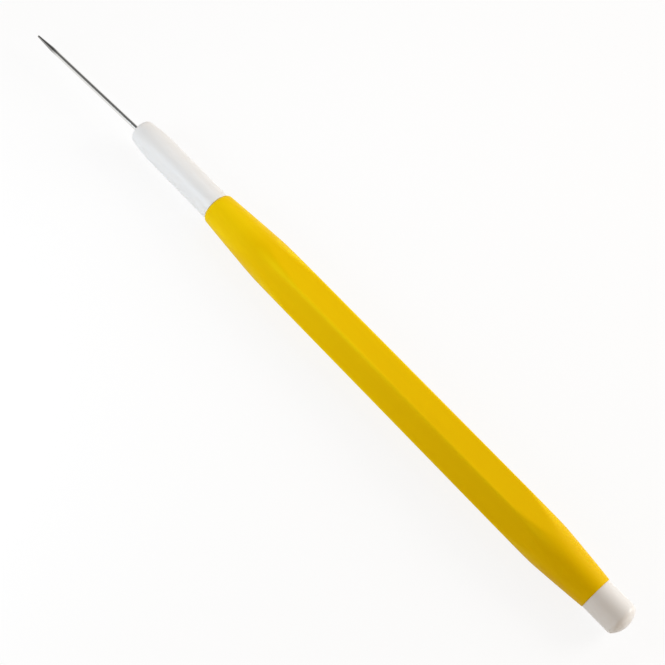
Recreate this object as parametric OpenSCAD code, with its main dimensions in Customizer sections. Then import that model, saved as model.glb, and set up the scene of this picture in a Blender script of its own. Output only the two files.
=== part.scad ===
// Pottery needle tool: a steel needle held by a moulded nose, on a faceted plastic handle with an end cap.
// The tool's axis runs along X, with the needle toward -X. It lies on one flat of the handle, on z = 0,
// and x = 0 is the middle of its whole length. All sizes are in millimetres.

/* [Needle] */
// Diameter of the needle
needle_dia = 1.1; // [0.8:0.05:1.6]
// Length that stands out of the nose
needle_out = 34; // [20:0.5:45]
// Length that is buried in the nose
needle_in = 20; // [16:0.5:30]
// Length of the ground point
point_len = 5; // [3:0.25:9]
// Diameter of the point's blunt end
point_dia = 0.45; // [0.1:0.05:0.7]
// Angle by which the needle leans away from the tool's axis
needle_lean = 2.1; // [0:0.1:3]
// Depth behind the nose's front at which the needle crosses the tool's axis
lean_depth = 9; // [4:0.5:14]
// Number of ring grooves that key the buried end
groove_count = 3; // [1:1:4]
// Width of a ring groove
groove_w = 0.8; // [0.5:0.1:1.2]
// Depth of a ring groove
groove_depth = 0.12; // [0.05:0.01:0.2]
// Distance between neighbouring grooves, centre to centre
groove_pitch = 2; // [1.5:0.1:3]

/* [Nose] */
// Length of the nose that shows in front of the handle
nose_len = 25.4; // [18:0.2:32]
// Diameter of the nose's barrel
nose_dia = 6.8; // [6:0.1:7]
// Diameter of the nose's front face, before its edge is rounded
nose_tip_dia = 5.3; // [3:0.1:5.5]
// Length of the rounded taper behind the front face
nose_taper_len = 7.5; // [4:0.25:12]
// Radius of the front face's edge
nose_edge_r = 0.8; // [0.2:0.05:1]

/* [Handle] */
// Length of the handle
handle_len = 112; // [90:0.2:130]
// Distance across the flats of the hexagon
handle_af = 10; // [9:0.1:13]
// Radius of the six long edges
edge_r = 0.7; // [0.3:0.05:1.2]
// Diameter of the front end, before its rim is rounded
front_dia = 7.45; // [7:0.05:8.5]
// Length of the front taper, from the end to the middle of a flat
front_taper_len = 17; // [10:0.5:24]
// Height of the front taper's arch above a straight cone, at the middle of its length
front_arch = 0.036; // [0:0.002:0.05]
// Radius of the front rim
front_rim_r = 0.8; // [0.2:0.05:0.8]
// Diameter of the rear end, before its rim is rounded
rear_dia = 7.5; // [7:0.05:8.5]
// Length of the rear taper, from the middle of a flat to the end
rear_taper_len = 13.3; // [8:0.1:20]
// Height of the rear taper's arch above a straight cone, at the middle of its length
rear_arch = 0.034; // [0:0.002:0.05]
// Radius of the rear rim
rear_rim_r = 0.2; // [0.1:0.05:0.6]
// Diameter of the core hole that runs through the handle
core_dia = 4.2; // [3:0.1:4.6]

/* [Sockets and spigots] */
// Diameter of the socket at each end of the handle
socket_dia = 5.2; // [4.8:0.1:5.4]
// Depth of the front socket
front_socket_depth = 22; // [18:0.5:30]
// Depth of the rear socket
rear_socket_depth = 13; // [10:0.5:20]
// Free length left in a socket behind its spigot
socket_spare = 1; // [0.5:0.1:2]
// Height of a crush rib above its spigot
rib_h = 0.15; // [0.05:0.01:0.25]
// Width of a crush rib
rib_w = 0.6; // [0.4:0.05:1]
// Number of crush ribs round a spigot
rib_count = 6; // [3:1:8]
// Clearance between the ribs and the socket
rib_gap = 0.01; // [0:0.01:0.05]
// Length of bare spigot that leads the ribs in
rib_lead = 2; // [1:0.25:4]
// Chamfer at a spigot's inner end
spigot_chamfer = 0.5; // [0.2:0.05:0.8]

/* [End cap] */
// Length of the cap's head behind the handle
cap_len = 8.6; // [6:0.1:12]
// Diameter of the cap's head
cap_dia = 7.3; // [6.4:0.05:8]
// Height of the dome on the head's end
dome_h = 0.7; // [0.3:0.05:1.5]
// Radius of the edge between the head's side and its dome
dome_edge_r = 1.2; // [0.4:0.05:1.6]
// Diameter of the hole that cores the cap
cap_core_dia = 2.8; // [2:0.1:3.2]
// Depth of that hole, from the spigot's inner end
cap_core_depth = 16; // [8:0.5:17]

/* [Hidden] */
$fn = 96;

// Stations along the axis, from the needle's point to the end of the cap.
needle_reach = (needle_out + lean_depth) * cos(needle_lean) - lean_depth;
tool_len = needle_reach + nose_len + handle_len + cap_len;
nose_x = needle_reach - tool_len / 2;
handle_x = nose_x + nose_len;
rear_x = handle_x + handle_len;
axis_z = handle_af / 2;

// The needle leans square to one flat, so this is that flat's normal, below the horizontal.
lean_roll = 30;

// The rounded hexagon: where its edges' centres lie, and how far the tapers reach past the edges.
edge_at = (handle_af / 2 - edge_r) / cos(30);
taper_reach = edge_at + edge_r + 0.4;

// Points of an arc from one angle to another, leaving out its first point.
arc_steps = 6;
function arc_points(centre, r, from, to) =
    [for (i = [1 : arc_steps])
        let (turn = from + (to - from) * i / arc_steps)
        centre + r * [cos(turn), sin(turn)]];

// Rise of a shallow arch at x, from the slope that it starts with and what the slope loses per millimetre.
function arch_rise(x, slope, bend) = (slope - bend * x / 2) * x;

// Points of one end's side, as [distance from the end, radius]. The rounded rim leaves the end face squarely
// and runs off smoothly onto the taper. The taper is arched up to arch_share times its length, and straight
// from there on, until it has passed the hexagon's edges.
taper_steps = 4;
arch_share = 1.35;
function end_points(end_dia, len, arch, rim_r) =
    let (
        slope = ((handle_af - end_dia) / 2 + 4 * arch) / len,
        bend = 8 * arch / pow(len, 2),
        rim_turn = 90 - atan(slope),
        rim_x = rim_r * (1 - cos(rim_turn)),
        centre_y = end_dia / 2 + rim_r * (slope - 1 / sin(rim_turn)),
        arch_x = arch_share * len,
        arch_y = end_dia / 2 + arch_rise(arch_x, slope, bend)
    )
    concat(
        [[0, centre_y]],
        arc_points([rim_r, centre_y], rim_r, 180, 180 - rim_turn),
        [for (i = [1 : taper_steps])
            let (x = rim_x + (arch_x - rim_x) * i / taper_steps)
            [x, end_dia / 2 + arch_rise(x, slope, bend)]],
        [[arch_x + (taper_reach - arch_y) / (slope - bend * arch_x), taper_reach]]
    );

// Spigots fill their sockets with their ribs and leave some length free.
rib_top_r = socket_dia / 2 - rib_gap;
spigot_r = rib_top_r - rib_h;
nose_spigot_len = front_socket_depth - socket_spare;
cap_spigot_len = rear_socket_depth - socket_spare;

// Small overlap that keeps cuts and joins clean.
bite = 0.1;

// Turns a profile about the X axis. The profile is drawn as [distance along the axis, radius].
module revolved() {
    rotate([0, 90, 0]) rotate_extrude() mirror([1, -1, 0]) children();
}

// Turns a profile about the tool's axis, from x on.
module turned(x) {
    translate([x, 0, axis_z]) revolved() children();
}

// A round hole or rod on the tool's axis, from x to x + len.
module round_bar(x, len, dia) {
    turned(x) square([len, dia / 2]);
}

// Spigot from its shoulder at x to its chamfered end, with crush ribs that stop short of the end.
// The way is 1 for a spigot that points along +X and -1 for one that points along -X.
module spigot(x, len, way) {
    translate([x, 0, axis_z]) rotate([0, 90 * way, 0]) {
        rotate_extrude()
            polygon([
                [0, -bite], [spigot_r, -bite], [spigot_r, len - spigot_chamfer],
                [spigot_r - spigot_chamfer, len], [0, len],
            ]);
        intersection() {
            cylinder(h = len - rib_lead, r = rib_top_r);
            for (i = [0 : rib_count - 1])
                rotate([0, 0, i * 360 / rib_count])
                    translate([0, -rib_w / 2, 0]) cube([socket_dia, rib_w, len]);
        }
    }
}

// The steel needle, turned and ground, with the grooves that key its buried end.
module needle_blank() {
    tip = -needle_out - lean_depth;
    butt = needle_in - lean_depth;
    groove_y = needle_dia / 2 - groove_depth;
    translate([nose_x + lean_depth, 0, axis_z])
        rotate([lean_roll, 0, 0])
            rotate([0, 0, needle_lean])
                revolved() difference() {
                    polygon([
                        [tip, 0], [tip, point_dia / 2], [tip + point_len, needle_dia / 2],
                        [butt, needle_dia / 2], [butt, 0],
                    ]);
                    for (i = [1 : groove_count])
                        translate([butt - i * groove_pitch - groove_w / 2, groove_y])
                            square([groove_w, needle_dia]);
                }
}

module needle() {
    color("lightsteelblue") needle_blank();
}

// Profile of the nose: a rounded front edge, the arched taper that it runs onto smoothly, and the barrel.
module nose_profile() {
    nose_r = nose_dia / 2;
    drop = nose_r - nose_tip_dia / 2;
    arch_r = (pow(nose_taper_len, 2) + pow(drop, 2)) / (2 * drop);
    arch_y = nose_r - arch_r;
    edge_run = nose_taper_len - nose_edge_r;
    edge_y = arch_y + sqrt(pow(arch_r - nose_edge_r, 2) - pow(edge_run, 2));
    join = atan2(edge_y - arch_y, -edge_run);
    polygon(concat(
        [[0, 0], [0, edge_y]],
        arc_points([nose_edge_r, edge_y], nose_edge_r, 180, join),
        arc_points([nose_taper_len, arch_y], arch_r, join, 90),
        [[nose_len, nose_r], [nose_len, 0]]
    ));
}

// The white nose: a tapered barrel, moulded round the needle, and the spigot behind it.
module nose() {
    color("whitesmoke") difference() {
        union() {
            turned(nose_x) nose_profile();
            spigot(handle_x, nose_spigot_len, 1);
        }
        needle_blank();
    }
}

// Hexagon with rounded edges, drawn with one flat facing up and one facing down once it lies along X.
module rounded_hexagon() {
    polygon([
        for (k = [0 : 5], i = [0 : arc_steps])
            let (corner = 30 + 60 * k, turn = corner - 30 + i * 60 / arc_steps)
            [edge_at * cos(corner) + edge_r * cos(turn),
             edge_at * sin(corner) + edge_r * sin(turn)]
    ]);
}

// Profile that the hexagonal bar is turned to: an arched taper at each end, with a rounded rim.
module handle_profile() {
    front = end_points(front_dia, front_taper_len, front_arch, front_rim_r);
    rear = end_points(rear_dia, rear_taper_len, rear_arch, rear_rim_r);
    polygon(concat(
        [[0, 0]], front,
        [for (i = [len(rear) - 1 : -1 : 0]) [handle_len - rear[i][0], rear[i][1]]], [[handle_len, 0]]
    ));
}

// The yellow handle: a hexagonal bar that runs out into a round taper at each end, like a sharpened pencil,
// cored along its length and opened to a socket at each end.
module handle() {
    color("gold") difference() {
        intersection() {
            translate([handle_x, 0, axis_z])
                rotate([0, 90, 0])
                    linear_extrude(handle_len) rounded_hexagon();
            turned(handle_x) handle_profile();
        }
        round_bar(handle_x - bite, front_socket_depth + bite, socket_dia);
        round_bar(handle_x, handle_len, core_dia);
        round_bar(rear_x - rear_socket_depth, rear_socket_depth + bite, socket_dia);
    }
}

// Profile of the cap's head: a plain side, a rounded edge, and the low dome that it runs onto smoothly.
module head_profile() {
    cap_r = cap_dia / 2;
    dome_r = (pow(cap_r, 2) + pow(dome_h, 2)) / (2 * dome_h);
    dome_x = cap_len - dome_r;
    edge_y = cap_r - dome_edge_r;
    edge_x = dome_x + sqrt(pow(dome_r - dome_edge_r, 2) - pow(edge_y, 2));
    join = atan2(edge_y, edge_x - dome_x);
    polygon(concat(
        [[0, 0], [0, cap_r], [edge_x, cap_r]],
        arc_points([edge_x, edge_y], dome_edge_r, 90, join),
        arc_points([dome_x, 0], dome_r, join, 0)
    ));
}

// The white end cap: a domed head, and a cored spigot that plugs the handle.
module end_cap() {
    color("whitesmoke") difference() {
        union() {
            turned(rear_x) head_profile();
            spigot(rear_x, cap_spigot_len, -1);
        }
        round_bar(rear_x - cap_spigot_len - bite, cap_core_depth + bite, cap_core_dia);
    }
}

needle();
nose();
handle();
end_cap();
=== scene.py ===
"""Looks of a pottery needle tool: a steel needle, a white moulded nose, a yellow hexagonal handle and a white
end cap. Sizes are in millimetres and angles in degrees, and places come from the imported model's own boxes.
"""

import bpy
import numpy as np
from mathutils import Matrix, Vector


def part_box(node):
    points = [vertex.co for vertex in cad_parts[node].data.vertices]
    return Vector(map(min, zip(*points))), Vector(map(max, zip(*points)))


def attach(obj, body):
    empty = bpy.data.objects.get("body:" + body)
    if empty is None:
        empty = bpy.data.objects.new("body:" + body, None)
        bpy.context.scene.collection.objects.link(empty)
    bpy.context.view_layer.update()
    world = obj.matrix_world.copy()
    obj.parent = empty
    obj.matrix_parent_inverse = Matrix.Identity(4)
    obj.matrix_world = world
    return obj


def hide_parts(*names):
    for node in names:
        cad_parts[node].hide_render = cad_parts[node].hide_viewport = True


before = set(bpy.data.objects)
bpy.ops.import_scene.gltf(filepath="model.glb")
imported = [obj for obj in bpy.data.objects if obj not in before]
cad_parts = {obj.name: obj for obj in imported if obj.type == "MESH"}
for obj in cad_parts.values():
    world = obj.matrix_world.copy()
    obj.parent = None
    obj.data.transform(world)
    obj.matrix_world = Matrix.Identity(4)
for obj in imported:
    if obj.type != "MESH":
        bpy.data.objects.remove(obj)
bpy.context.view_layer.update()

# Needle. Hardened steel wire, cut to length, ground to a blunt point and polished. It leans a little out of
# the nose, and ring grooves near its buried end key it into the plastic that is moulded round it.
MM = 0.001
needle_dia = 1.1
needle_in = 20.0
needle_lean = 2.1
lean_roll = 30.0
lean_depth = 9.0
point_len = 5.0
point_dia = 0.45
point_edge_r = 0.15
point_blend_r = 6.0
ground_fade = 2.0
butt_edge_r = 0.05
groove_w = 0.8
groove_depth = 0.12
groove_pitch = 2.0
groove_count = 3
groove_edge_r = 0.03
needle_step = 0.5
round_steps = 96
sharp_turn = 40.0


def station(node, end):
    """Distance along the tool's axis of a node's low (0) or high (1) end, in millimetres, from the frame."""
    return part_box(node)[end].x / MM


axis_z = (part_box("handle")[0].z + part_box("handle")[1].z) / 2 / MM
needle_tip_x = station("needle", 0)
nose_x = station("nose", 0)


def filleted(corners, steps=6):
    """A profile through corner points (x, r, fillet). Each fillet is the arc that touches both sides of its
    corner: it starts fillet / tan(half the inner angle) before the corner, and its points are turned evenly
    about its centre, from one side's normal to the other's."""
    points = []
    for i, (x, r, fillet) in enumerate(corners):
        here = np.array([x, r], float)
        if fillet == 0 or i in (0, len(corners) - 1):
            points.append(here[None, :])
            continue
        before = np.array(corners[i - 1][:2], float) - here
        after = np.array(corners[i + 1][:2], float) - here
        before /= np.linalg.norm(before)
        after /= np.linalg.norm(after)
        half = np.arccos(np.clip(before @ after, -1, 1)) / 2
        centre = here + (before + after) / np.linalg.norm(before + after) * fillet / np.sin(half)
        start = here + before * fillet / np.tan(half) - centre
        side = np.sign(before[0] * after[1] - before[1] * after[0])
        turn = np.linspace(0, np.pi - 2 * half, steps + 1) * -side
        points.append(centre + np.stack([start[0] * np.cos(turn) - start[1] * np.sin(turn),
                                         start[0] * np.sin(turn) + start[1] * np.cos(turn)], 1))
    return np.concatenate(points)


def spaced(path, step):
    """The same profile with points added evenly along its straight stretches, so that none is longer than
    step."""
    lengths = np.linalg.norm(np.diff(path, axis=0), axis=1)
    stretches = [np.linspace(a, b, int(np.ceil(max(length, 1e-9) / step)), endpoint=False)
                 for a, b, length in zip(path[:-1], path[1:], lengths)]
    return np.concatenate(stretches + [path[-1:]])


def rings(x, radius, angles):
    """Rings about the X axis: the point at (x, angle) is (x, radius sin angle, -radius cos angle). The radius
    may change round the ring. Angle 0 is the underside, and a quarter turn is the +Y side."""
    x = np.broadcast_to(np.asarray(x)[:, None], np.broadcast_shapes((len(x), len(angles)), radius.shape))
    return np.stack([x, radius * np.sin(angles), -radius * np.cos(angles)], -1)


def skin(name, grid, loop, **values):
    """A mesh through a grid of points, one ring a row. The rings close on themselves. With loop the last row
    joins the first, and otherwise the first and last rows are points, which close the ends with fans. A face
    joins two neighbours of one ring to the same two of the next, in the order that turns it outwards where
    the rows of the outside run towards +X. Each named value is a number for every point of the grid, and
    becomes an attribute that a material can read."""
    rows, cols = grid.shape[:2]
    index = np.arange(rows * cols).reshape(rows, cols)
    if loop:
        index = np.vstack([index, index[:1]])
    a = index[:-1]
    b = index[1:]
    quads = np.stack([a, np.roll(a, -1, 1), np.roll(b, -1, 1), b], -1)
    points = grid.reshape(-1, 3)
    faces = []
    if not loop:
        quads = quads[1:-1]
        first = index[1]
        last = index[-2]
        start = np.full(cols, index[0, 0])
        end = np.full(cols, index[-1, 0])
        faces += np.stack([start, np.roll(first, -1), first], -1).tolist()
        faces += np.stack([last, np.roll(last, -1), end], -1).tolist()
    faces += quads.reshape(-1, 4).tolist()
    used, packed = np.unique(np.concatenate([np.ravel(f) for f in faces]), return_inverse=True)
    ends = np.cumsum([0] + [len(f) for f in faces])
    mesh = bpy.data.meshes.new(name)
    mesh.from_pydata((points[used] * MM).tolist(), [],
                     [packed[i:j].tolist() for i, j in zip(ends[:-1], ends[1:])])
    mesh.shade_smooth()
    mesh.set_sharp_from_angle(angle=np.radians(sharp_turn))
    for key, value in values.items():
        mesh.attributes.new(key, "FLOAT", "POINT").data.foreach_set("value", value.ravel()[used])
    piece = bpy.data.objects.new(name, mesh)
    bpy.context.scene.collection.objects.link(piece)
    return piece


def lean(points):
    """Turns points of the needle's own axis by its lean, in the plane through two opposite flats of the
    handle, about the place where the needle crosses the tool's axis."""
    turned = Matrix.Rotation(np.radians(lean_roll), 3, "X") @ Matrix.Rotation(np.radians(needle_lean), 3, "Z")
    return points @ np.array(turned).T + [nose_x + lean_depth, 0, axis_z]


# Along the needle's own axis, distances count from where it crosses the tool's axis.
around = np.linspace(0, 2 * np.pi, round_steps, endpoint=False)
leaned = np.radians(needle_lean)
tip = (needle_tip_x + point_dia / 2 * np.sin(leaned) - nose_x - lean_depth) / np.cos(leaned)
butt = needle_in - lean_depth
needle_r = needle_dia / 2
corners = [(tip, 0, 0), (tip, point_dia / 2, point_edge_r), (tip + point_len, needle_r, point_blend_r)]
for i in range(groove_count, 0, -1):
    middle = butt - i * groove_pitch
    for side, sunk in ((-1, 0), (-1, 1), (1, 1), (1, 0)):
        corners.append((middle + side * groove_w / 2, needle_r - sunk * groove_depth, groove_edge_r))
corners += [(butt, needle_r, butt_edge_r), (butt, 0, 0)]
path = spaced(filleted(corners), needle_step)
ground_end = tip + point_len
on_point = np.interp(path[:, :1], (ground_end, ground_end + ground_fade), (1, 0))
needle = skin("steel_needle", lean(rings(path[:, 0], path[:, 1:], around)), loop=False,
              ground=on_point + 0 * around)


def add(tree, kind, links=(), **settings):
    """Adds a shader node, sets its properties and inputs by name, and links (from node, output, input). In a
    mix of colours, input 0 is the share, inputs 6 and 7 are the colours, and output 2 is the result."""
    node = tree.nodes.new(kind)
    for key, value in settings.items():
        if hasattr(node, key):
            setattr(node, key, value)
        else:
            node.inputs[key.replace("_", " ")].default_value = value
    for source, output, target in links:
        tree.links.new(source.outputs[output], node.inputs[target])
    return node


def srgb(code):
    """A hex colour as linear red, green, blue and an alpha of 1. A share c is c / 12.92 up to 0.04045, and
    ((c + 0.055) / 1.055) ^ 2.4 above."""
    c = np.array([int(code[i:i + 2], 16) for i in (1, 3, 5)]) / 255
    return (*np.where(c <= 0.04045, c / 12.92, ((c + 0.055) / 1.055) ** 2.4), 1)


def finish_named(name):
    """A new material with a Principled shader, as (material, tree, shader, object coordinates)."""
    material = bpy.data.materials.new(name)
    material.use_nodes = True
    tree = material.node_tree
    shader = tree.nodes["Principled BSDF"]
    return material, tree, shader, add(tree, "ShaderNodeTexCoord")


def polished_steel():
    """Ground and polished carbon steel: bright, with faint rings left by the grinding wheel. They are drawn
    0.25 mm wide, coarser than real ones so that they show, and their pattern hardly changes across the wire.
    The point's colour is a darker grey, which fades into the bright steel just behind it."""
    material, tree, shader, place = finish_named("ground_carbon_steel")
    shader.inputs["Metallic"].default_value = 1
    # Darker grey over the point, blended into the bright steel over a short length behind it.
    point = add(tree, "ShaderNodeAttribute", attribute_name="ground")
    tone = add(tree, "ShaderNodeMix", [(point, "Fac", 0)], data_type="RGBA")
    tone.inputs[6].default_value = srgb("#E5E4E1")
    tone.inputs[7].default_value = srgb("#9C9B99")
    tree.links.new(tone.outputs[2], shader.inputs["Base Color"])
    marks = add(tree, "ShaderNodeMapping", [(place, "Object", "Vector")], Scale=(1 / (0.25 * MM), 60, 60))
    wheel = add(tree, "ShaderNodeTexNoise", [(marks, "Vector", "Vector")], Scale=1, Detail=2)
    rough = add(tree, "ShaderNodeMapRange", [(wheel, "Fac", "Value")], To_Min=0.17, To_Max=0.26)
    tree.links.new(rough.outputs["Result"], shader.inputs["Roughness"])
    bump = add(tree, "ShaderNodeBump", [(wheel, "Fac", "Height")], Strength=0.1, Distance=0.005 * MM)
    tree.links.new(bump.outputs["Normal"], shader.inputs["Normal"])
    return material


needle.data.materials.append(polished_steel())
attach(needle, "root")
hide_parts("needle")

# Nose. White polypropylene, moulded round the needle. In front it is a plain barrel with an arched taper and
# a soft front edge; behind its shoulder a spigot with crush ribs is pressed into the handle.
nose_dia = 6.8
nose_tip_dia = 5.3
nose_taper_len = 7.5
nose_edge_r = 0.8
nose_edge_takes = 3
arch_steps = 23
mouth_gap = 0.02
pocket_spare = 0.2
rim_r = 0.08
root_r = 0.05
spigot_dia = 4.88
spigot_chamfer = 0.5
rib_h = 0.15
rib_w = 0.6
rib_flank = 0.1
rib_lead = 2.0
rib_count = 6
skin_step = 0.4
handle_x = station("handle", 0)


def ribbed(x, radius, angles, first, last):
    """Adds the spigot's crush ribs between two stations: round the ring the radius rises by rib_h where the
    distance from the nearest rib's middle is under half of rib_w. Beside that it falls evenly over
    rib_flank."""
    spacing = 2 * np.pi / rib_count
    off = np.abs((angles + spacing / 2) % spacing - spacing / 2) * spigot_dia / 2
    rise = np.clip((rib_w / 2 + rib_flank - off) / rib_flank, 0, 1)
    here = ((x > first) & (x < last)).astype(float)
    return radius + rib_h * rise[None, :] * here[:, None]


# The taper's side is the arc that runs into the barrel without a corner. Its radius is
# (length^2 + drop^2) / (2 drop), and the front edge's fillet takes the place of its first few points.
drop = (nose_dia - nose_tip_dia) / 2
arch_r = (nose_taper_len ** 2 + drop ** 2) / (2 * drop)
arch = [(x, nose_dia / 2 - arch_r + np.sqrt(arch_r ** 2 - (nose_taper_len - x) ** 2), 0)
        for x in np.linspace(0, nose_taper_len, arch_steps, endpoint=False)]
mouth_r = needle_r + mouth_gap
nose_len = handle_x - nose_x
spigot_end = station("nose", 1) - nose_x
pocket_end = needle_in + pocket_spare
pocket = [(pocket_end, 0, 0), (pocket_end, mouth_r, 0), (0, mouth_r, rim_r)]
front_edge = (0, arch[0][1], nose_edge_r)
barrel = [(nose_taper_len, nose_dia / 2, 0), (nose_len, nose_dia / 2, rim_r)]
spigot = [
    (nose_len, spigot_dia / 2, root_r), (spigot_end - spigot_chamfer, spigot_dia / 2, 0),
    (spigot_end, spigot_dia / 2 - spigot_chamfer, 0), (spigot_end, 0, 0),
]
path = spaced(filleted([*pocket, front_edge, *arch[nose_edge_takes:], *barrel, *spigot]), skin_step)
grid = rings(path[:, 0], ribbed(path[:, 0], path[:, 1:], around, nose_len, spigot_end - rib_lead), around)

# The pocket leans with the needle, and the lean fades to nothing across the front face.
outside = np.clip((path[:, 1] - mouth_r) / (nose_tip_dia / 2 - nose_edge_r - mouth_r), 0, 1)
at_mouth = np.arange(len(path)) < np.argmax(path[:, 1])
follows_needle = np.where(at_mouth, 1 - outside, 0)[:, None, None]
straight = grid + [nose_x, 0, axis_z]
leaning = lean(grid - [lean_depth, 0, 0])
nose = skin("moulded_nose", straight + (leaning - straight) * follows_needle, loop=False)


def white_plastic():
    """Injection-moulded polypropylene: milky white, a little light passes into it, with a satin skin whose
    grain is about 0.2 mm, coarser than the real mould's so that it shows."""
    material, tree, shader, place = finish_named("white_polypropylene")
    shader.inputs["Base Color"].default_value = srgb("#EFEFEE")
    shader.inputs["IOR"].default_value = 1.49
    shader.inputs["Subsurface Weight"].default_value = 0.2
    shader.inputs["Subsurface Radius"].default_value = (1, 0.95, 0.9)
    shader.inputs["Subsurface Scale"].default_value = 0.8 * MM
    grain = add(tree, "ShaderNodeTexNoise", [(place, "Object", "Vector")], Scale=1 / (0.2 * MM), Detail=3)
    rough = add(tree, "ShaderNodeMapRange", [(grain, "Fac", "Value")], To_Min=0.3, To_Max=0.45)
    tree.links.new(rough.outputs["Result"], shader.inputs["Roughness"])
    bump = add(tree, "ShaderNodeBump", [(grain, "Fac", "Height")], Strength=0.2, Distance=0.02 * MM)
    tree.links.new(bump.outputs["Normal"], shader.inputs["Normal"])
    return material


white = white_plastic()
nose.data.materials.append(white)
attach(nose, "root")
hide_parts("nose")

# Handle. Yellow ABS, injection moulded round a long core pin. It is a hexagon with soft edges, and each flat
# runs out in an arch on the round taper at either end, as on a sharpened pencil. Its edges carry a painted
# highlight.
handle_af = 10.0
edge_r = 0.7
front_dia = 7.45
front_taper_len = 17.0
front_arch = 0.036
front_rim_r = 0.8
rear_dia = 7.5
rear_taper_len = 13.3
rear_arch = 0.034
rear_rim_r = 0.2
arch_share = 1.35
taper_spare = 0.4
run_out = 0.06
core_dia = 4.2
socket_dia = 5.2
front_socket_depth = 22.0
rear_socket_depth = 13.0
socket_rim_r = 0.1
socket_foot_r = 0.2
taper_steps = 8
flat_steps = 8
edge_steps = 5
bore_step = 2.0
handle_len = station("handle", 1) - handle_x
edge_at = (handle_af / 2 - edge_r) / np.cos(np.pi / 6)
corner_r = edge_at + edge_r
taper_reach = corner_r + taper_spare
tangent = np.arctan(edge_at * np.sin(np.pi / 6) / (handle_af / 2))


def hexagon_radius(angles):
    """Distance from the axis to the rounded hexagon. Measured from the nearest flat's middle by an angle a,
    a flat lies at half of handle_af / cos a. Past the tangent point it is the edge's circle, seen at b from
    the corner: edge_at cos b + sqrt(edge_r^2 - (edge_at sin b)^2)."""
    a = np.abs((angles + np.pi / 6) % (np.pi / 3) - np.pi / 6)
    b = np.pi / 6 - a
    flat = handle_af / 2 / np.cos(a)
    arc = edge_at * np.cos(b) + np.sqrt(np.maximum(edge_r ** 2 - (edge_at * np.sin(b)) ** 2, 0))
    return np.where(a < tangent, flat, arc)


def taper(end_dia, length, arch):
    """Points of one end's side, as (distance from the end, radius): r + slope x - bend x^2 / 2 rises by arch
    above a straight cone at half its length. Past arch_share lengths it runs on straight to taper_reach."""
    slope = ((handle_af - end_dia) / 2 + 4 * arch) / length
    bend = 8 * arch / length ** 2
    x = np.linspace(0, arch_share * length, taper_steps + 1)
    r = end_dia / 2 + slope * x - bend * x ** 2 / 2
    last = x[-1] + (taper_reach - r[-1]) / (slope - bend * x[-1])
    return np.stack([np.append(x, last), np.append(r, taper_reach)], 1)


def smaller(a, b, soft):
    """The smaller of two radii, blended over a soft width: -soft ln(exp(-a / soft) + exp(-b / soft))."""
    low = np.minimum(a, b)
    return low - soft * np.log1p(np.exp(-np.abs(a - b) / soft))


half_flat = np.concatenate([np.linspace(0, tangent, flat_steps, endpoint=False),
                            np.linspace(tangent, np.pi / 6, edge_steps + 1)])
sector = np.concatenate([-half_flat[:0:-1], half_flat])[:-1]
hexagon_angles = np.concatenate([k * np.pi / 3 + sector for k in range(6)])
front = [(x, r, 0) for x, r in taper(front_dia, front_taper_len, front_arch)[1:]]
rear = [(handle_len - x, r, 0) for x, r in taper(rear_dia, rear_taper_len, rear_arch)[:0:-1]]
front_half = (front_socket_depth / 2, socket_dia / 2, 0)
rear_half = (handle_len - rear_socket_depth / 2, socket_dia / 2, 0)
rear_foot_x = handle_len - rear_socket_depth
outer = filleted([
    front_half, (0, socket_dia / 2, socket_rim_r), (0, front_dia / 2, front_rim_r), *front, *rear,
    (handle_len, rear_dia / 2, rear_rim_r), (handle_len, socket_dia / 2, socket_rim_r), rear_half,
])
inner = filleted([
    rear_half, (rear_foot_x, socket_dia / 2, socket_foot_r), (rear_foot_x, core_dia / 2, socket_foot_r),
    (front_socket_depth, core_dia / 2, socket_foot_r), (front_socket_depth, socket_dia / 2, socket_foot_r),
    front_half,
])
path = np.concatenate([spaced(outer, skin_step)[:-1], spaced(inner, bore_step)[:-1]])
hexagon = hexagon_radius(hexagon_angles)[None, :]
grid = rings(path[:, 0], smaller(hexagon, path[:, 1:], run_out), hexagon_angles)

# Painted highlight, as the share of a paler yellow. On an edge it is exp(-(gap / width)^2), gap being the way
# round from the edge's middle. The width grows by what the taper has cut off the edge, and the highlight
# fades out as the cut nears a set depth. Further back the edges' painted highlight is weaker, and the front
# taper is painted with a highlight all round.
highlight_w = 0.36
highlight_depth = 0.95
highlight_fade = 0.5
highlight_fall_from = 35.0
highlight_fall_to = 80.0
rear_highlight = 0.55
taper_highlight_from = 9.0
taper_highlight_to = 16.0
taper_highlight = 0.5
corner_gap = np.abs(hexagon_angles % (np.pi / 3) - np.pi / 6) * corner_r
cut = np.maximum(corner_r - path[:, 1:], 0)
highlight_along = np.interp(path[:, :1], (highlight_fall_from, highlight_fall_to), (1, rear_highlight))
edges = highlight_along * np.exp(-(corner_gap / (highlight_w + cut)) ** 2) * np.clip((highlight_depth - cut) / highlight_fade, 0, 1)
# Painted highlight all round the front taper, fading out towards the flats.
painted_taper_highlight = np.interp(path[:, :1], (taper_highlight_from, taper_highlight_to), (taper_highlight, 0))
handle = skin("hexagonal_handle", grid + [handle_x, 0, axis_z], loop=True,
              edge_wear=np.maximum(edges, painted_taper_highlight))


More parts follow.
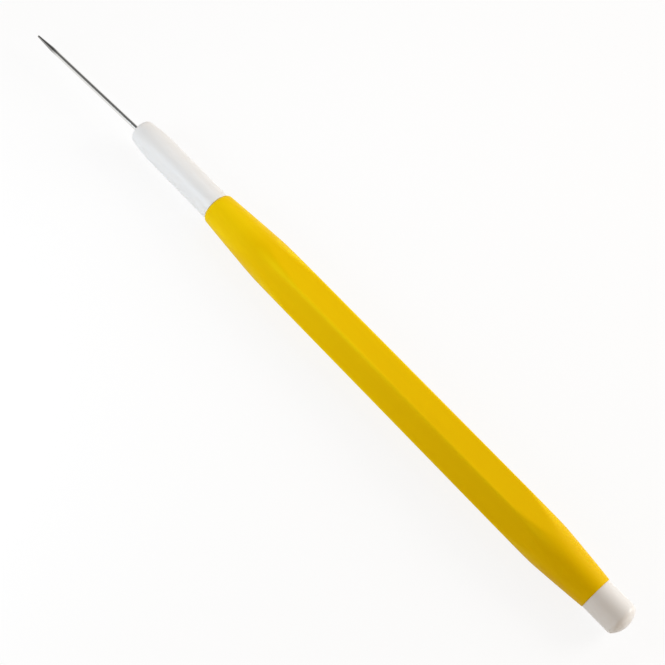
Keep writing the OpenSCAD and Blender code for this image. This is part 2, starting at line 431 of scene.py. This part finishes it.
def yellow_plastic():
    """Injection-moulded ABS, coloured through: a deep warm yellow with a satin skin. Its reflections are weak
    and yellowish, so that it stays as deep in the light as it is in the photograph. Flow marks about 2 mm
    wide and twelve times as long run with the handle. A paler yellow is painted on the edges and the front
    taper as a highlight, patchy along the flow marks. The skin's grain is 0.25 mm, coarser than the real one
    so that it shows."""
    material, tree, shader, place = finish_named("yellow_abs")
    shader.inputs["IOR"].default_value = 1.53
    shader.inputs["Specular IOR Level"].default_value = 0.12
    shader.inputs["Specular Tint"].default_value = srgb("#FFD640")
    shader.inputs["Subsurface Weight"].default_value = 0.08
    shader.inputs["Subsurface Radius"].default_value = (1, 0.6, 0.1)
    shader.inputs["Subsurface Scale"].default_value = 0.6 * MM
    along = add(tree, "ShaderNodeMapping", [(place, "Object", "Vector")], Scale=(1 / 12, 1, 1))
    flow = add(tree, "ShaderNodeTexNoise", [(along, "Vector", "Vector")], Scale=1 / (2.2 * MM), Detail=3)
    grain = add(tree, "ShaderNodeTexNoise", [(place, "Object", "Vector")], Scale=1 / (0.25 * MM), Detail=3)
    tone = add(tree, "ShaderNodeMix", [(flow, "Fac", 0)], data_type="RGBA")
    tone.inputs[6].default_value = srgb("#ECC100")
    tone.inputs[7].default_value = srgb("#F4C900")
    # Painted highlight: where the edge share is high, the yellow is mixed towards a paler yellow, patchy
    # along the flow marks.
    edge = add(tree, "ShaderNodeAttribute", attribute_name="edge_wear")
    patchy = add(tree, "ShaderNodeMapRange", [(flow, "Fac", "Value")], From_Min=0.35, From_Max=0.65,
                 To_Min=0.5, To_Max=0.9)
    highlight_share = add(tree, "ShaderNodeMath", [(edge, "Fac", 0), (patchy, "Result", 1)], operation="MULTIPLY")
    highlighted_tone = add(tree, "ShaderNodeMix", [(highlight_share, "Value", 0), (tone, 2, 6)], data_type="RGBA")
    highlighted_tone.inputs[7].default_value = srgb("#FFDE10")
    tree.links.new(highlighted_tone.outputs[2], shader.inputs["Base Color"])
    rough = add(tree, "ShaderNodeMapRange", [(grain, "Fac", "Value")], To_Min=0.42, To_Max=0.56)
    tree.links.new(rough.outputs["Result"], shader.inputs["Roughness"])
    waves = add(tree, "ShaderNodeBump", [(flow, "Fac", "Height")], Strength=0.3, Distance=0.06 * MM)
    bump = add(tree, "ShaderNodeBump", [(grain, "Fac", "Height"), (waves, "Normal", "Normal")],
               Strength=0.2, Distance=0.02 * MM)
    tree.links.new(bump.outputs["Normal"], shader.inputs["Normal"])
    return material


handle.data.materials.append(yellow_plastic())
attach(handle, "root")
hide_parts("handle")

# End cap. White polypropylene, the nose's material: a short head with a domed end and a well rounded edge, as
# in the photograph, and a cored, ribbed spigot that is pressed into the handle's rear socket.
cap_dia = 7.3
dome_h = 1.4
dome_edge_r = 1.2
dome_edge_takes = 5
dome_steps = 15
fillet_steps = 8
cap_core_dia = 2.8
cap_core_depth = 16.0
cap_core_r = 0.2
rear_x = station("handle", 1)
cap_len = station("end_cap", 1) - rear_x
cap_spigot_len = rear_x - station("end_cap", 0)
core_end = cap_core_depth - cap_spigot_len

# The dome is the arc of radius (half width^2 + height^2) / (2 height), from its edge in to the axis. The
# edge's fillet takes the place of its first few points.
dome_r = ((cap_dia / 2) ** 2 + dome_h ** 2) / (2 * dome_h)
dome = [(cap_len - dome_r + np.sqrt(dome_r ** 2 - y ** 2), y, 0)
        for y in np.linspace(cap_dia / 2, 0, dome_steps + 1)]
corners = [
    (core_end, 0, 0), (core_end, cap_core_dia / 2, cap_core_r), (-cap_spigot_len, cap_core_dia / 2, root_r),
    (-cap_spigot_len, spigot_dia / 2 - spigot_chamfer, 0),
    (spigot_chamfer - cap_spigot_len, spigot_dia / 2, 0), (0, spigot_dia / 2, root_r),
    (0, cap_dia / 2, rim_r), (*dome[0][:2], dome_edge_r), *dome[dome_edge_takes:],
]
path = spaced(filleted(corners, fillet_steps), skin_step)
grid = rings(path[:, 0], ribbed(path[:, 0], path[:, 1:], around, rib_lead - cap_spigot_len, 0), around)
cap = skin("domed_end_cap", grid + [rear_x, 0, axis_z], loop=False)
cap.data.materials.append(white)
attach(cap, "root")
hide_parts("end_cap")

# Floor. A wide white studio table. The camera and mirror-like surfaces see it nearly white, as the
# photograph's cut-out ground is, and part of its own shading stays, so the tool keeps a soft shadow.
floor_half = 4000.0
floor_share = 0.15
floor_glow = 1.02
floor_mesh = bpy.data.meshes.new("floor")
floor_mesh.from_pydata([(x * floor_half * MM, y * floor_half * MM, 0)
                        for x, y in ((-1, -1), (1, -1), (1, 1), (-1, 1))], [], [(0, 1, 2, 3)])
floor = bpy.data.objects.new("floor", floor_mesh)
bpy.context.scene.collection.objects.link(floor)


def seen_directly(tree):
    """A node whose output is 1 for rays that show a surface to the camera, straight, in a mirror or through
    glass: the largest of the three values."""
    rays = add(tree, "ShaderNodeLightPath")
    mirror = add(tree, "ShaderNodeMath", [(rays, "Is Camera Ray", 0), (rays, "Is Glossy Ray", 1)],
                 operation="MAXIMUM")
    return add(tree, "ShaderNodeMath", [(mirror, "Value", 0), (rays, "Is Transmission Ray", 1)],
               operation="MAXIMUM")


def table_white():
    """Matt white laminate, mixed with plain white where the camera sees it."""
    material, tree, shader, _ = finish_named("matt_white_table")
    shader.inputs["Base Color"].default_value = srgb("#EEEEEE")
    shader.inputs["Roughness"].default_value = 0.9
    shader.inputs["Specular IOR Level"].default_value = 0
    glow = add(tree, "ShaderNodeEmission", Color=(1, 1, 1, 1), Strength=floor_glow)
    share = add(tree, "ShaderNodeMath", [(seen_directly(tree), "Value", 0)], operation="MULTIPLY")
    share.inputs[1].default_value = 1 - floor_share
    mix = add(tree, "ShaderNodeMixShader",
              [(share, "Value", 0), (shader, "BSDF", 1), (glow, "Emission", 2)])
    tree.links.new(mix.outputs[0], tree.nodes["Material Output"].inputs["Surface"])
    return material


floor_mesh.materials.append(table_white())

# Light. A large soft key lamp stands high behind the cap's end, in an even, warm surround. Two small cool
# lamps at the front make the colour fall off towards the cap, as photographed, and one lights the cap's end.
# The camera and the steel see a white backdrop that darkens overhead, which gives the needle dark bands.
surround_strength = 0.39
backdrop_white_to = 15.0
backdrop_dark_from = 40.0
backdrop_dark = 0.14
world = bpy.data.worlds.new("studio")
world.use_nodes = True
bpy.context.scene.world = world
sky = world.node_tree
surround = sky.nodes["Background"]
surround.inputs["Color"].default_value = srgb("#FFE5C8")
surround.inputs["Strength"].default_value = surround_strength
ray = add(sky, "ShaderNodeTexCoord")
height = add(sky, "ShaderNodeSeparateXYZ", [(ray, "Generated", 0)])
fade = add(sky, "ShaderNodeMapRange", [(height, "Z", "Value")], interpolation_type="SMOOTHSTEP",
           From_Min=np.sin(np.radians(backdrop_white_to)), From_Max=np.sin(np.radians(backdrop_dark_from)),
           To_Min=1, To_Max=backdrop_dark)
backdrop = add(sky, "ShaderNodeBackground", [(fade, "Result", "Strength")], Color=(1, 1, 1, 1))
chosen = add(sky, "ShaderNodeMixShader",
             [(seen_directly(sky), "Value", 0), (surround, "Background", 1), (backdrop, "Background", 2)])
sky.links.new(chosen.outputs[0], sky.nodes["World Output"].inputs["Surface"])


def softbox(name, place, aim, size, watts, tint):
    """A square area lamp at a place, facing a point, both in millimetres. The camera doesn't see it."""
    lamp = bpy.data.lights.new(name, "AREA")
    lamp.color = srgb(tint)[:3]
    lamp.size = size * MM
    lamp.energy = watts
    box = bpy.data.objects.new(name, lamp)
    bpy.context.scene.collection.objects.link(box)
    box.location = Vector(place) * MM
    box.rotation_euler = (Vector(aim) - Vector(place)).to_track_quat("-Z", "Y").to_euler()
    box.visible_camera = False


softbox("key_light", place=(250, 375, 235), aim=(0, 0, 0), size=220, watts=1.6, tint="#FFFFFF")
softbox("side_light", place=(-60, -125, 75), aim=(-30, 0, 5), size=80, watts=0.122, tint="#DDEFFF")
softbox("top_light", place=(-40, 70, 130), aim=(-40, 0, 5), size=80, watts=0.046, tint="#DDEFFF")
softbox("cap_end_light", place=(250, 150, 60), aim=(90, 0, 5), size=80, watts=0.03, tint="#FFFFFF")

# Camera. It looks down on the tool from the side of one long edge, a little nearer to the cap, and it is
# rolled so that the tool runs from upper left to lower right.
picture_px = 665
focal_px = 1500
sensor_w = 36
near_clip = 10.0
far_clip = 20000.0
elevation = np.radians(60)
tilt = np.radians(15.5)
roll = np.radians(45.55)
look_x = 7.08
look_off = -1.05
distance = 309.9
square_on = Vector((0, -np.cos(elevation), np.sin(elevation)))
across = Vector((0, np.sin(elevation), np.cos(elevation)))
to_camera = Vector((np.sin(tilt), 0, 0)) + square_on * np.cos(tilt)
along = Vector((np.cos(tilt), 0, 0)) - square_on * np.sin(tilt)
right = along * np.cos(roll) + across * np.sin(roll)
up = across * np.cos(roll) - along * np.sin(roll)
camera = bpy.data.objects.new("camera", bpy.data.cameras.new("camera"))
bpy.context.scene.collection.objects.link(camera)
camera.data.sensor_width = sensor_w
camera.data.lens = sensor_w * focal_px / picture_px
camera.data.clip_start = near_clip * MM
camera.data.clip_end = far_clip * MM
look = Vector((look_x, 0, axis_z)) + across * look_off
camera.matrix_world = Matrix.Translation((look + to_camera * distance) * MM) @ Matrix(
    (right, up, to_camera)).transposed().to_4x4()
bpy.context.scene.camera = camera
bpy.context.scene.view_settings.view_transform = "Standard"
